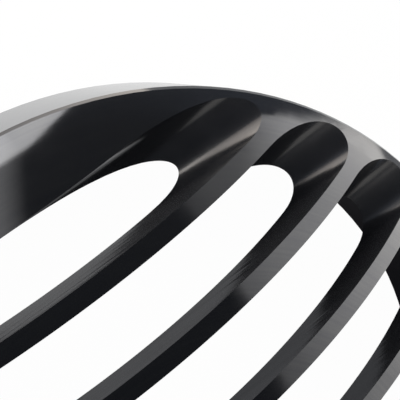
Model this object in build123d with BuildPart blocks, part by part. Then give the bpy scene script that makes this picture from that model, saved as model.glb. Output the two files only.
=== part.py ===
from build123d import *
from math import sqrt
import os

os.makedirs("parts", exist_ok=True)

# Headlight grille: a domed cap turned from one aluminium blank, then cut by parallel channels.
# Millimetres. The back rim lies on z = 0, the dome faces +Z and the slots run along X.

# Turned blank
rim_radius = 84.0
skirt_height = 24.5
dome_radius = 127.0
rim_chamfer = 0.6

# Hollow behind the dome, which slips over the headlight's ring
skirt_wall = 10.5
crown_thickness = 4.5
hollow_radius = 109.0
bore_lead_in = 1.0
back_edge_break = 0.5

# Channels cut by a round-nosed cutter that runs straight across at one depth
slot_count = 9
slot_pitch = 16.0
cutter_radius = 6.4
floor_above_rim = 1.5

# Sizes that follow from the ones above
bore_radius = rim_radius - skirt_wall
dome_rise = dome_radius - sqrt(dome_radius**2 - rim_radius**2)
crown_height = skirt_height + dome_rise
hollow_top = crown_height - crown_thickness
hollow_spring = hollow_top - hollow_radius + sqrt(hollow_radius**2 - bore_radius**2)
slot_floor = skirt_height + floor_above_rim
cutter_height = slot_floor + cutter_radius
cut_top = crown_height + cutter_radius
cut_length = 2 * rim_radius + 4 * cutter_radius

with BuildPart() as grille:
    # Solid cap: straight skirt below, ball-shaped dome above
    with BuildSketch(Plane.XZ):
        with BuildLine():
            Line((0, 0), (rim_radius, 0))
            Line((rim_radius, 0), (rim_radius, skirt_height))
            RadiusArc((rim_radius, skirt_height), (0, crown_height), -dome_radius)
            Line((0, crown_height), (0, 0))
        make_face()
    revolve(axis=Axis.Z)

    # Hollow: plain bore from the back, closed by a smaller ball shape under the dome
    with BuildSketch(Plane.XZ):
        with BuildLine():
            Line((0, 0), (bore_radius, 0))
            Line((bore_radius, 0), (bore_radius, hollow_spring))
            RadiusArc((bore_radius, hollow_spring), (0, hollow_top), -hollow_radius)
            Line((0, hollow_top), (0, 0))
        make_face()
    revolve(axis=Axis.Z, mode=Mode.SUBTRACT)

    # Turned edges: the dome's rim, the back rim's outside and the mouth of the bore
    rims = grille.edges().filter_by(GeomType.CIRCLE)
    back_rims = rims.group_by(Axis.Z)[0].sort_by(SortBy.RADIUS)
    dome_rim = rims.filter_by(lambda rim: abs(rim.center().Z - skirt_height) < 0.01).sort_by(SortBy.RADIUS)[-1]
    chamfer(dome_rim, rim_chamfer)
    chamfer(back_rims[0], bore_lead_in)
    chamfer(back_rims[-1], back_edge_break)

    # Slots: straight walls and a half-round floor, which runs out through the side of the dome
    with BuildSketch(Plane.YZ):
        with Locations((0, (cutter_height + cut_top) / 2)):
            with GridLocations(slot_pitch, 0, slot_count, 1):
                Rectangle(2 * cutter_radius, cut_top - cutter_height)
        with Locations((0, cutter_height)):
            with GridLocations(slot_pitch, 0, slot_count, 1):
                Circle(cutter_radius)
    extrude(amount=cut_length / 2, both=True, mode=Mode.SUBTRACT)

grille.part.label = "grille"
export_step(grille.part, "parts/grille.step")
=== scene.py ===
"""Looks of the headlight grille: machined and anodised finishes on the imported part, in a white studio."""

import logging
import math
from dataclasses import dataclass
from enum import Enum

import bmesh
import bpy
from mathutils import Matrix, Vector

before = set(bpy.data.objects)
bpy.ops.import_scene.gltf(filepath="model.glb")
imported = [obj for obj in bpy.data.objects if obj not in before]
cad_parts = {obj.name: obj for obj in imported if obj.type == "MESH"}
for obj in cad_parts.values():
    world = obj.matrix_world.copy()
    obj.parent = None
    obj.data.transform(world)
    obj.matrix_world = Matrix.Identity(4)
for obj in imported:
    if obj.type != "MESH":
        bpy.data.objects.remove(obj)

MM = 0.001
IMAGE_PX = 400

Tree = bpy.types.NodeTree
Socket = bpy.types.NodeSocket

log = logging.getLogger("headlight_grille")


class Cut(Enum):
    """The machining step that left a face of the grille."""

    DOME = "turned dome"
    TROUGH = "milled slot floor"
    WALL = "milled slot wall"
    SKIRT = "turned skirt"
    INSIDE = "blasted inside"


class Lay(Enum):
    """Which way the tool marks run on a face."""

    CIRCULAR = "circles about the axis of the dome"
    STRAIGHT = "lines along the slots"


def linear(hex_colour: str) -> tuple[float, float, float, float]:
    """Turns an sRGB hex colour into linear RGBA.

    Args:
        hex_colour: colour written as "#rrggbb".

    Returns:
        Linear red, green, blue and an alpha of 1.
    """
    channels = [int(hex_colour[i : i + 2], 16) / 255 for i in (1, 3, 5)]
    values = [c / 12.92 if c <= 0.04045 else ((c + 0.055) / 1.055) ** 2.4 for c in channels]
    return (values[0], values[1], values[2], 1.0)


def add_node(
    tree: Tree, kind: str, inputs: dict[str | int, object] | None = None, **settings: object
) -> bpy.types.Node:
    """Adds a node, sets its options and fills or links its inputs.

    Args:
        tree: node tree that gets the node.
        kind: Blender's type name of the node.
        inputs: input name or number to a value, or to the socket that feeds it.
        **settings: options of the node itself.

    Returns:
        The new node.
    """
    node = tree.nodes.new(kind)
    for name, value in settings.items():
        setattr(node, name, value)
    for name, value in (inputs or {}).items():
        if isinstance(value, Socket):
            tree.links.new(value, node.inputs[name])
        else:
            node.inputs[name].default_value = value
    return node


def new_material(name: str) -> tuple[bpy.types.Material, Tree]:
    """Makes an empty node material.

    Args:
        name: name of the material.

    Returns:
        The material and its cleared node tree.
    """
    material = bpy.data.materials.new(name)
    material.use_nodes = True
    material.node_tree.nodes.clear()
    return material, material.node_tree


def axis_distance(tree: Tree, place: Socket) -> Socket:
    """Measures how far a point lies from the axis of the dome.

    Args:
        tree: node tree that does the measuring.
        place: position of the point.

    Returns:
        The distance in metres.
    """
    flat = add_node(tree, "ShaderNodeVectorMath", {0: place, 1: (1, 1, 0)}, operation="MULTIPLY")
    length = add_node(tree, "ShaderNodeVectorMath", {0: flat.outputs[0]}, operation="LENGTH")
    return length.outputs["Value"]


@dataclass(frozen=True)
class AnodisedFinish:
    """Black anodised aluminium, with the marks of the tool that cut it showing through the thin oxide.

    The eye sees a near-black metal: black where the studio is dark, grey where it mirrors a softbox, fine
    lines along the way the tool ran, and faint smudges where the oxide is uneven.
    """

    name: str
    lay: Lay
    colour: str
    mark_colour: str
    metallic: float
    specular: float
    roughness: float
    anisotropy: float
    mark_pitch_mm: float
    mark_depth_mm: float
    mark_length_mm: float
    mark_detail: float = 2.0
    mark_fineness: float = 0.5
    oxide_gloss: float = 0.0
    oxide_roughness: float = 0.16
    smudge_mm: float = 9.0
    smudge_detail: float = 4.0
    smudge_fineness: float = 0.65
    smudge_roughness: float = 0.02
    smudge_range: tuple[float, float] = (0.3, 0.7)
    worn_range: tuple[float, float] = (0.7, 1.3)

    def _across_and_along(self, tree: Tree) -> tuple[Socket, Socket]:
        """Measures a point across and along the tool marks, in metres.

        Args:
            tree: tree of the material.

        Returns:
            The distance across the marks, and the distance along them.
        """
        place = add_node(tree, "ShaderNodeNewGeometry").outputs["Position"]
        axes = add_node(tree, "ShaderNodeSeparateXYZ", {0: place})
        x, y, z = axes.outputs["X"], axes.outputs["Y"], axes.outputs["Z"]
        if self.lay is Lay.STRAIGHT:
            across = add_node(tree, "ShaderNodeMath", {0: y, 1: z}, operation="ADD").outputs[0]
            return across, x
        radius = axis_distance(tree, place)
        across = add_node(tree, "ShaderNodeMath", {0: radius, 1: z}, operation="SUBTRACT").outputs[0]
        turn = add_node(tree, "ShaderNodeMath", {0: y, 1: x}, operation="ARCTAN2").outputs[0]
        along = add_node(tree, "ShaderNodeMath", {0: turn, 1: radius}, operation="MULTIPLY").outputs[0]
        return across, along

    def _marks(self, tree: Tree) -> Socket:
        """Draws the tool marks as noise that is drawn out along the cut.

        Args:
            tree: tree of the material.

        Returns:
            The height of the marks, from 0 to 1.
        """
        across, along = self._across_and_along(tree)
        lines_per_m = 1 / (self.mark_pitch_mm * MM)
        runs_per_m = 1 / (self.mark_length_mm * MM)
        line = add_node(tree, "ShaderNodeMath", {0: across, 1: lines_per_m}, operation="MULTIPLY")
        run = add_node(tree, "ShaderNodeMath", {0: along, 1: runs_per_m}, operation="MULTIPLY")
        place = add_node(tree, "ShaderNodeCombineXYZ", {"X": line.outputs[0], "Y": run.outputs[0]})
        pattern = {
            "Vector": place.outputs[0],
            "Scale": 1.0,
            "Detail": self.mark_detail,
            "Roughness": self.mark_fineness,
        }
        return add_node(tree, "ShaderNodeTexNoise", pattern, noise_dimensions="2D").outputs["Fac"]

    def _smudges(self, tree: Tree) -> Socket:
        """Draws the faint patches where the oxide is uneven.

        Args:
            tree: tree of the material.

        Returns:
            The strength of the patches, from 0 to 1.
        """
        pattern = {
            "Vector": add_node(tree, "ShaderNodeNewGeometry").outputs["Position"],
            "Scale": 1 / (self.smudge_mm * MM),
            "Detail": self.smudge_detail,
            "Roughness": self.smudge_fineness,
        }
        return add_node(tree, "ShaderNodeTexNoise", pattern).outputs["Fac"]

    def _tint(self, tree: Tree, marks: Socket, smudges: Socket) -> Socket:
        """Mixes the two colours of the dye by the marks and the smudges.

        Args:
            tree: tree of the material.
            marks: height of the tool marks.
            smudges: strength of the smudges.

        Returns:
            The colour.
        """
        worn = add_node(tree, "ShaderNodeMath", {0: marks, 1: smudges}, operation="ADD").outputs[0]
        low, high = self.worn_range
        share = add_node(tree, "ShaderNodeMapRange", {"Value": worn, "From Min": low, "From Max": high})
        colours = {0: share.outputs["Result"], 6: linear(self.colour), 7: linear(self.mark_colour)}
        return add_node(tree, "ShaderNodeMix", colours, data_type="RGBA").outputs[2]

    def _unevenness(self, tree: Tree, smudges: Socket) -> Socket:
        """Lets the roughness follow the smudges a little.

        Args:
            tree: tree of the material.
            smudges: strength of the smudges.

        Returns:
            The roughness.
        """
        low, high = self.smudge_range
        levels = {
            "Value": smudges,
            "From Min": low,
            "From Max": high,
            "To Min": self.roughness - self.smudge_roughness,
            "To Max": self.roughness + self.smudge_roughness,
        }
        return add_node(tree, "ShaderNodeMapRange", levels).outputs["Result"]

    def material(self) -> bpy.types.Material:
        """Builds the finish as a node material.

        Returns:
            The finished material.
        """
        material, tree = new_material(self.name)
        marks = self._marks(tree)
        smudges = self._smudges(tree)
        relief = {"Strength": 1.0, "Distance": self.mark_depth_mm * MM, "Height": marks}
        circular = self.lay is Lay.CIRCULAR
        axis = "Z" if circular else "X"
        quarter_turn = 0.25
        tangent = add_node(tree, "ShaderNodeTangent", direction_type="RADIAL", axis=axis)
        surface = add_node(
            tree,
            "ShaderNodeBsdfPrincipled",
            {
                "Base Color": self._tint(tree, marks, smudges),
                "Metallic": self.metallic,
                "Specular IOR Level": self.specular,
                "Roughness": self._unevenness(tree, smudges),
                "Anisotropic": self.anisotropy,
                "Anisotropic Rotation": 0.0 if circular else quarter_turn,
                "Coat Weight": self.oxide_gloss,
                "Coat Roughness": self.oxide_roughness,
                "Normal": add_node(tree, "ShaderNodeBump", relief).outputs["Normal"],
                "Tangent": tangent.outputs["Tangent"],
            },
        )
        add_node(tree, "ShaderNodeOutputMaterial", {"Surface": surface.outputs["BSDF"]})
        return material


# Black anodised aluminium, lathe-turned to a fine feed: near-black and glossy, with hair-fine circles.
# The real feed marks are about 0.1 mm apart and are drawn seven times as coarse, so that they show.
TURNED_DOME = AnodisedFinish(
    name="black_anodised_aluminium_turned",
    lay=Lay.CIRCULAR,
    colour="#323439",
    mark_colour="#37393d",
    metallic=0.88,
    specular=0.5,
    roughness=0.08,
    anisotropy=0.2,
    mark_pitch_mm=0.7,
    mark_depth_mm=0.0004,
    mark_length_mm=40.0,
)

# Black anodised aluminium, milled with a round-nosed cutter: a soft sheen under a thin clear oxide gloss,
# with faint bands along the cut. Real cutter lines are well under 1 mm apart and are drawn 3 mm apart, so
# that they show.
MILLED_TROUGH = AnodisedFinish(
    name="black_anodised_aluminium_milled",
    lay=Lay.STRAIGHT,
    colour="#212328",
    mark_colour="#292b30",
    metallic=0.6,
    specular=0.5,
    roughness=0.22,
    anisotropy=0.2,
    mark_pitch_mm=3.0,
    mark_depth_mm=0.012,
    mark_length_mm=120.0,
    oxide_gloss=0.25,
)

# Black anodised aluminium, milled with the side of the cutter: dark grey, with long fine lines along the
# wall. Real cutter lines are well under 1 mm apart and are drawn 2 mm apart, so that they show.
MILLED_WALL = AnodisedFinish(
    name="black_anodised_aluminium_side_milled",
    lay=Lay.STRAIGHT,
    colour="#2d2f34",
    mark_colour="#34363b",
    metallic=0.6,
    specular=0.5,
    roughness=0.12,
    anisotropy=0.2,
    mark_pitch_mm=2.0,
    mark_depth_mm=0.02,
    mark_length_mm=150.0,
    mark_detail=3.0,
    mark_fineness=0.6,
)

# Black anodised aluminium, turned in one smooth pass on the outside of the skirt: glossy, faint circles.
# The real feed marks are about 0.1 mm apart and are drawn five times as coarse, so that they show.
TURNED_SKIRT = AnodisedFinish(
    name="black_anodised_aluminium_skirt",
    lay=Lay.CIRCULAR,
    colour="#2f3135",
    mark_colour="#3a3c41",
    metallic=0.88,
    specular=0.5,
    roughness=0.12,
    anisotropy=0.2,
    mark_pitch_mm=0.5,
    mark_depth_mm=0.001,
    mark_length_mm=60.0,
)

# Black anodised aluminium, bead-blasted on the inside so that it throws no glare from the lamp: matt.
# The real grain is about 0.1 mm wide and is drawn five times as coarse, so that it shows.
BLASTED_INSIDE = AnodisedFinish(
    name="black_anodised_aluminium_blasted",
    lay=Lay.CIRCULAR,
    colour="#232228",
    mark_colour="#2a292f",
    metallic=0.0,
    specular=0.02,
    roughness=0.7,
    anisotropy=0.0,
    mark_pitch_mm=0.5,
    mark_depth_mm=0.003,
    mark_length_mm=1.0,
)


@dataclass
class HeadlightGrille:
    """The one machined piece, dressed face by face with the finish of the cut that made it.

    The sizes are the part's own, and serve to tell its faces apart. ball_facing is how squarely a face of
    the dome or the hollow looks along the radius of its ball, from 0 to 1. straight_facing is the most that
    a face of a slot looks along the slot, and a wall looks up or down.
    """

    node: bpy.types.Object
    rim_radius_mm: float = 84.0
    skirt_height_mm: float = 24.5
    skirt_wall_mm: float = 10.5
    bore_lead_in_mm: float = 1.0
    dome_radius_mm: float = 127.0
    crown_thickness_mm: float = 4.5
    hollow_radius_mm: float = 109.0
    floor_above_rim_mm: float = 1.5
    face_tolerance_mm: float = 0.4
    ball_facing: float = 0.9
    straight_facing: float = 0.02

    @property
    def crown_height_mm(self) -> float:
        """Height of the top of the dome, before the slots were cut."""
        dome_rise_mm = self.dome_radius_mm - math.sqrt(self.dome_radius_mm**2 - self.rim_radius_mm**2)
        return self.skirt_height_mm + dome_rise_mm

    def _off_ball(self, face: bpy.types.MeshPolygon, top_mm: float, radius_mm: float) -> tuple[float, float]:
        """Measures a face against a ball about the axis.

        Args:
            face: face of the grille's mesh.
            top_mm: height of the ball's top.
            radius_mm: radius of the ball.

        Returns:
            The distance of the face's middle from the ball, and how far the face looks away from the
            ball's centre, from -1 to 1.
        """
        arm = face.center / MM - Vector((0, 0, top_mm - radius_mm))
        return abs(arm.length - radius_mm), face.normal.dot(arm.normalized())

    def cut_of(self, face: bpy.types.MeshPolygon) -> Cut:
        """Tells which cut left a face.

        Args:
            face: face of the grille's mesh.

        Returns:
            The cut.
        """
        off_dome, from_dome = self._off_ball(face, self.crown_height_mm, self.dome_radius_mm)
        if off_dome < self.face_tolerance_mm and from_dome > self.ball_facing:
            return Cut.DOME
        hollow_top_mm = self.crown_height_mm - self.crown_thickness_mm
        off_hollow, from_hollow = self._off_ball(face, hollow_top_mm, self.hollow_radius_mm)
        if off_hollow < self.face_tolerance_mm and from_hollow < -self.ball_facing:
            return Cut.INSIDE
        centre_mm = face.center / MM
        slot_floor_mm = self.skirt_height_mm + self.floor_above_rim_mm
        along_slot = abs(face.normal.x) < self.straight_facing
        if along_slot and centre_mm.z > slot_floor_mm - self.face_tolerance_mm:
            return Cut.WALL if abs(face.normal.z) < self.straight_facing else Cut.TROUGH
        bore_mouth_mm = self.rim_radius_mm - self.skirt_wall_mm + self.bore_lead_in_mm
        return Cut.INSIDE if centre_mm.to_2d().length < bore_mouth_mm else Cut.SKIRT

    def dress(self) -> None:
        """Gives each face the finish of its cut."""
        finishes = {
            Cut.DOME: TURNED_DOME,
            Cut.TROUGH: MILLED_TROUGH,
            Cut.WALL: MILLED_WALL,
            Cut.SKIRT: TURNED_SKIRT,
            Cut.INSIDE: BLASTED_INSIDE,
        }
        mesh = self.node.data
        mesh.materials.clear()
        for finish in finishes.values():
            mesh.materials.append(finish.material())
        order = list(finishes)
        counts = dict.fromkeys(order, 0)
        for face in mesh.polygons:
            cut = self.cut_of(face)
            face.material_index = order.index(cut)
            counts[cut] += 1
        for cut, count in counts.items():
            log.info("%s: %s on %d faces", self.node.name, cut.value, count)


@dataclass(frozen=True)
class Fade:
    """A change of brightness across the face of a lamp.

    It runs along one direction of the face, in degrees from the lamp's width towards its height, between
    two distances from the middle of the lamp. Outside them the level stays as it is at that end.
    """

    direction_deg: float
    start_mm: float
    end_mm: float
    start_level: float
    end_level: float


@dataclass(frozen=True)
class Softbox:
    """A flat soft lamp whose brightness may fade across its face. A radiance of 1 shows as white."""

    name: str
    centre_mm: tuple[float, float, float]
    faces_mm: tuple[float, float, float]
    width_mm: float
    height_mm: float
    radiance: float
    roll_deg: float = 0.0
    fades: tuple[Fade, ...] = ()
    colour: str = "#fff8ec"

    def build(self) -> bpy.types.Object:
        """Adds the lamp.

        Returns:
            The lamp's object.
        """
        width, height = self.width_mm * MM, self.height_mm * MM
        centre = Vector(self.centre_mm) * MM
        away = (centre - Vector(self.faces_mm) * MM).normalized()
        lamp = bpy.data.lights.new(self.name, "AREA")
        lamp.shape = "RECTANGLE"
        lamp.size = width
        lamp.size_y = height
        lamp.energy = self.radiance * math.pi * width * height
        lamp.color = linear(self.colour)[:3]
        light = bpy.data.objects.new(self.name, lamp)
        light.rotation_mode = "QUATERNION"
        roll = Matrix.Rotation(math.radians(self.roll_deg), 3, "Z").to_quaternion()
        light.rotation_quaternion = away.to_track_quat("Z", "Y") @ roll
        light.location = centre
        light.visible_camera = False
        bpy.context.scene.collection.objects.link(light)
        if self.fades:
            self._grade(lamp, centre, light.rotation_quaternion.to_matrix())
        log.info("%s: softbox of %.0f by %.0f mm", self.name, self.width_mm, self.height_mm)
        return light

    def _grade(self, lamp: bpy.types.AreaLight, centre: Vector, axes: Matrix) -> None:
        """Lays the fades over the face of the lamp.

        Args:
            lamp: the lamp's data.
            centre: middle of the lamp in metres.
            axes: the lamp's own axes as columns.
        """
        lamp.use_nodes = True
        tree = lamp.node_tree
        tree.nodes.clear()
        place = add_node(tree, "ShaderNodeNewGeometry").outputs["Position"]
        levels = []
        for fade in self.fades:
            turn = math.radians(fade.direction_deg)
            along = axes.col[0] * math.cos(turn) + axes.col[1] * math.sin(turn)
            middle = centre.dot(along)
            offset = add_node(tree, "ShaderNodeVectorMath", {0: place, 1: along}, operation="DOT_PRODUCT")
            span = {
                "Value": offset.outputs["Value"],
                "From Min": middle + fade.start_mm * MM,
                "From Max": middle + fade.end_mm * MM,
                "To Min": fade.start_level,
                "To Max": fade.end_level,
            }
            levels.append(add_node(tree, "ShaderNodeMapRange", span).outputs["Result"])
        strength = levels[0]
        for level in levels[1:]:
            product = add_node(tree, "ShaderNodeMath", {0: strength, 1: level}, operation="MULTIPLY")
            strength = product.outputs[0]
        glow = add_node(tree, "ShaderNodeEmission", {"Strength": strength})
        add_node(tree, "ShaderNodeOutputLight", {"Surface": glow.outputs["Emission"]})


DOME_MIDDLE_MM = (0.0, 0.0, 40.0)

# Large softbox beyond the ends of the slots: the sheen on the bars and on the rim at the right.
# In each fade the direction comes first, then the two distances, then the two levels.
SOFTBOX_ALONG_SLOTS = Softbox(
    name="softbox_along_slots",
    centre_mm=(390, -56, 297),
    faces_mm=(45, -56, 297),
    width_mm=613,
    height_mm=660,
    radiance=5.7,
    roll_deg=-28,
    fades=(
        Fade(90, -140, 280, 1.0, 0.31),
        Fade(90, 255, 285, 1.0, 0.2),
        Fade(90, 285, 330, 1.0, 0.0),
        Fade(0, -137, 34, 0.69, 1.0),
        Fade(25, 215, 267, 1.0, 0.42),
        Fade(153.7, -308, -301, 0.0, 1.0),
        Fade(133.5, -306, -298, 0.0, 1.0),
    ),
)

# Lit paper that leans close to the side of the grille: grey slot walls, and the streaks in the troughs
PAPER_ACROSS_SLOTS = Softbox(
    name="paper_across_slots",
    centre_mm=(23, 155.5, 32),
    faces_mm=(23, 110.5, 121.3),
    width_mm=166,
    height_mm=133,
    radiance=4.8,
    fades=(
        Fade(90, -66, 66, 1.0, 0.4),
        Fade(0, -95, -58, 0.4, 1.0),
        Fade(0, -50, 0, 1.0, 0.42),
    ),
    colour="#fff1e0",
)

# Narrow lit card close to the same side: the bright patch on the end panel and the start of the first streak
CARD_ACROSS_SLOTS = Softbox(
    name="card_across_slots",
    centre_mm=(19.3, 127, 42.2),
    faces_mm=(68.4, 40, 42.2),
    width_mm=107,
    height_mm=17.4,
    radiance=9.5,
    roll_deg=2,
    fades=(
        Fade(80, 5.4, 7.2, 1.0, 0.0),
        Fade(0, -53, -40, 0.35, 1.0),
    ),
)

# Wide softbox behind the camera at the left: the soft grey at the far left of the end panel
SOFTBOX_LEFT = Softbox(
    name="softbox_left",
    centre_mm=(-265, 632, 452),
    faces_mm=DOME_MIDDLE_MM,
    width_mm=1160,
    height_mm=400,
    radiance=2.3,
    fades=(Fade(-46, -350, -263, 0.0, 1.0),),
)

# Small softbox on the far side: a faint fill
SOFTBOX_BEHIND = Softbox(
    name="softbox_behind",
    centre_mm=(355, -614, 594),
    faces_mm=DOME_MIDDLE_MM,
    width_mm=320,
    height_mm=300,
    radiance=1.2,
)


@dataclass
class Studio:
    """White paper floor, pale room with a dark ceiling, and the softboxes.

    The camera sees the paper as white, with only a trace of the grille's shadow. The metal mirrors it by
    painted_shade_in_metal: pairs of a distance from the axis in mm and the share of white there. The dip
    from 1.0 to about 0.55 between 40 and 84 mm is painted shade: a dimmer ring of paper in the metal's
    reflections, where the skirt shades the floor. glow_reach_mm is the distance at which that scale ends.
    """

    floor_radius_m: float = 8.0
    floor_segments: int = 96
    floor_gap_mm: float = 0.05
    floor_colour: str = "#eceff3"
    floor_glow: float = 0.98
    # Painted shade: the white that the metal mirrors drops to about half in a ring under the skirt
    painted_shade_in_metal: tuple[tuple[float, float], ...] = ((40, 1.0), (58, 0.56), (78, 0.54), (84, 1.0))
    glow_reach_mm: float = 100.0
    paper_grain_mm: float = 0.8
    paper_relief_mm: float = 0.05
    paper_relief_share: float = 0.2
    wall_colour: str = "#eaf1ff"
    wall_top_deg: float = 4.0
    ceiling_edge_deg: float = 22.0
    horizon_radiance: float = 0.45
    ceiling_radiance: float = 0.12
    softboxes: tuple[Softbox, ...] = (
        SOFTBOX_ALONG_SLOTS,
        PAPER_ACROSS_SLOTS,
        CARD_ACROSS_SLOTS,
        SOFTBOX_LEFT,
        SOFTBOX_BEHIND,
    )

    def build(self) -> None:
        """Lays the floor, makes the room and adds the lamps."""
        self.floor()
        self.room()
        for softbox in self.softboxes:
            softbox.build()

    def floor(self) -> bpy.types.Object:
        """Lays the floor that the grille's back rim rests on.

        Returns:
            The floor's object.
        """
        mesh = bpy.data.meshes.new("floor")
        disc = bmesh.new()
        bmesh.ops.create_circle(
            disc, cap_ends=True, segments=self.floor_segments, radius=self.floor_radius_m
        )
        disc.to_mesh(mesh)
        disc.free()
        mesh.materials.append(self._paper())
        floor = bpy.data.objects.new("floor", mesh)
        floor.location.z = -self.floor_gap_mm * MM
        bpy.context.scene.collection.objects.link(floor)
        log.info("floor: white paper, %.0f m across", 2 * self.floor_radius_m)
        return floor

    def _paper(self) -> bpy.types.Material:
        """White paper that reads as a white background and still takes the grille's shadow.

        Returns:
            The material.
        """
        material, tree = new_material("matt_white_paper")
        place = add_node(tree, "ShaderNodeNewGeometry").outputs["Position"]
        grain_per_m = 1 / (self.paper_grain_mm * MM)
        grain = add_node(tree, "ShaderNodeTexNoise", {"Vector": place, "Scale": grain_per_m})
        relief = {
            "Strength": self.paper_relief_share,
            "Distance": self.paper_relief_mm * MM,
            "Height": grain.outputs["Fac"],
        }
        normal = add_node(tree, "ShaderNodeBump", relief).outputs["Normal"]
        lit = add_node(
            tree, "ShaderNodeBsdfDiffuse", {"Color": linear(self.floor_colour), "Normal": normal}
        )
        white = add_node(tree, "ShaderNodeEmission", {"Color": linear("#ffffff"), "Strength": 1.0})
        share = self._white_share(tree, place)
        layers = {0: share, 1: lit.outputs["BSDF"], 2: white.outputs["Emission"]}
        mixed = add_node(tree, "ShaderNodeMixShader", layers)
        add_node(tree, "ShaderNodeOutputMaterial", {"Surface": mixed.outputs["Shader"]})
        return material

    def _white_share(self, tree: Tree, place: Socket) -> Socket:
        """Works out how much of the paper shows as plain white, to the camera and in the metal, where
        painted shade dims it in a ring under the skirt.

        Args:
            tree: tree of the paper's material.
            place: position of the point.

        Returns:
            The share, from 0 to 1.
        """
        distance = axis_distance(tree, place)
        reach = add_node(
            tree, "ShaderNodeMath", {0: distance, 1: self.glow_reach_mm * MM}, operation="DIVIDE"
        )
        # Painted shade in the reflections: a ramp by distance from the axis dims the mirrored white under
        # the skirt
        in_metal = add_node(tree, "ShaderNodeValToRGB", {"Fac": reach.outputs[0]})
        stops = in_metal.color_ramp.elements
        while len(stops) < len(self.painted_shade_in_metal):
            stops.new(1.0)
        for stop, (distance_mm, glow) in zip(stops, self.painted_shade_in_metal):
            stop.position = distance_mm / self.glow_reach_mm
            stop.color = (glow, glow, glow, 1.0)
        path = add_node(tree, "ShaderNodeLightPath").outputs
        bounces = {0: path["Is Glossy Ray"], 1: path["Is Transmission Ray"]}
        mirrored = add_node(tree, "ShaderNodeMath", bounces, operation="MAXIMUM")
        view = {0: path["Is Camera Ray"], 1: self.floor_glow}
        seen = add_node(tree, "ShaderNodeMath", view, operation="MULTIPLY")
        both = {0: mirrored.outputs[0], 1: in_metal.outputs["Color"], 2: seen.outputs[0]}
        return add_node(tree, "ShaderNodeMath", both, operation="MULTIPLY_ADD").outputs[0]

    def room(self) -> None:
        """Makes the world: pale walls near the floor that darken towards the ceiling."""
        world = bpy.data.worlds.new("studio_room")
        world.use_nodes = True
        tree = world.node_tree
        tree.nodes.clear()
        direction = add_node(tree, "ShaderNodeTexCoord").outputs["Generated"]
        height = add_node(tree, "ShaderNodeSeparateXYZ", {0: direction}).outputs["Z"]
        levels = {
            "Value": height,
            "From Min": math.sin(math.radians(self.wall_top_deg)),
            "From Max": math.sin(math.radians(self.ceiling_edge_deg)),
            "To Min": self.horizon_radiance,
            "To Max": self.ceiling_radiance,
        }
        level = add_node(tree, "ShaderNodeMapRange", levels, interpolation_type="SMOOTHSTEP")
        glow = {"Color": linear(self.wall_colour), "Strength": level.outputs["Result"]}
        walls = add_node(tree, "ShaderNodeBackground", glow)
        add_node(tree, "ShaderNodeOutputWorld", {"Surface": walls.outputs["Background"]})
        bpy.context.scene.world = world
        log.info("studio_room: pale walls and a dark ceiling")


@dataclass
class PhotoCamera:
    """The camera close above the dome, rolled as in the photograph.

    plan_up_deg is the way that is up in the picture, seen in plan, in degrees from +X.
    """

    position_mm: tuple[float, float, float] = (-10.00, 111.70, 188.03)
    look: tuple[float, float, float] = (0.2486, -0.3370, -0.9069)
    plan_up_deg: float = 58.63
    focal_px: float = 913.8
    sensor_mm: float = 36.0
    near_m: float = 0.005
    far_m: float = 50.0

    def build(self) -> bpy.types.Object:
        """Adds the camera and makes it the scene's own.

        Returns:
            The camera's object.
        """
        lens = bpy.data.cameras.new("photo_camera")
        lens.sensor_width = self.sensor_mm
        lens.lens = self.focal_px / IMAGE_PX * self.sensor_mm
        lens.clip_start = self.near_m
        lens.clip_end = self.far_m
        camera = bpy.data.objects.new("photo_camera", lens)
        back = -Vector(self.look).normalized()
        turn = math.radians(self.plan_up_deg)
        right = Vector((math.cos(turn), math.sin(turn), 0)).cross(back).normalized()
        up = back.cross(right)
        axes = Matrix((right, up, back)).transposed().to_4x4()
        camera.matrix_world = Matrix.Translation(Vector(self.position_mm) * MM) @ axes
        bpy.context.scene.collection.objects.link(camera)
        bpy.context.scene.camera = camera
        log.info("camera: %.1f mm lens", lens.lens)
        return camera


def main() -> None:
    """Dresses the grille, builds the studio and the camera, and notes the sizes."""
    logging.basicConfig(level=logging.INFO, format="%(name)s: %(message)s")
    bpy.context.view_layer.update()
    bpy.context.scene.view_settings.view_transform = "Standard"
    HeadlightGrille(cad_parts["grille"]).dress()
    Studio().build()
    PhotoCamera().build()


if __name__ == "__main__":
    main()
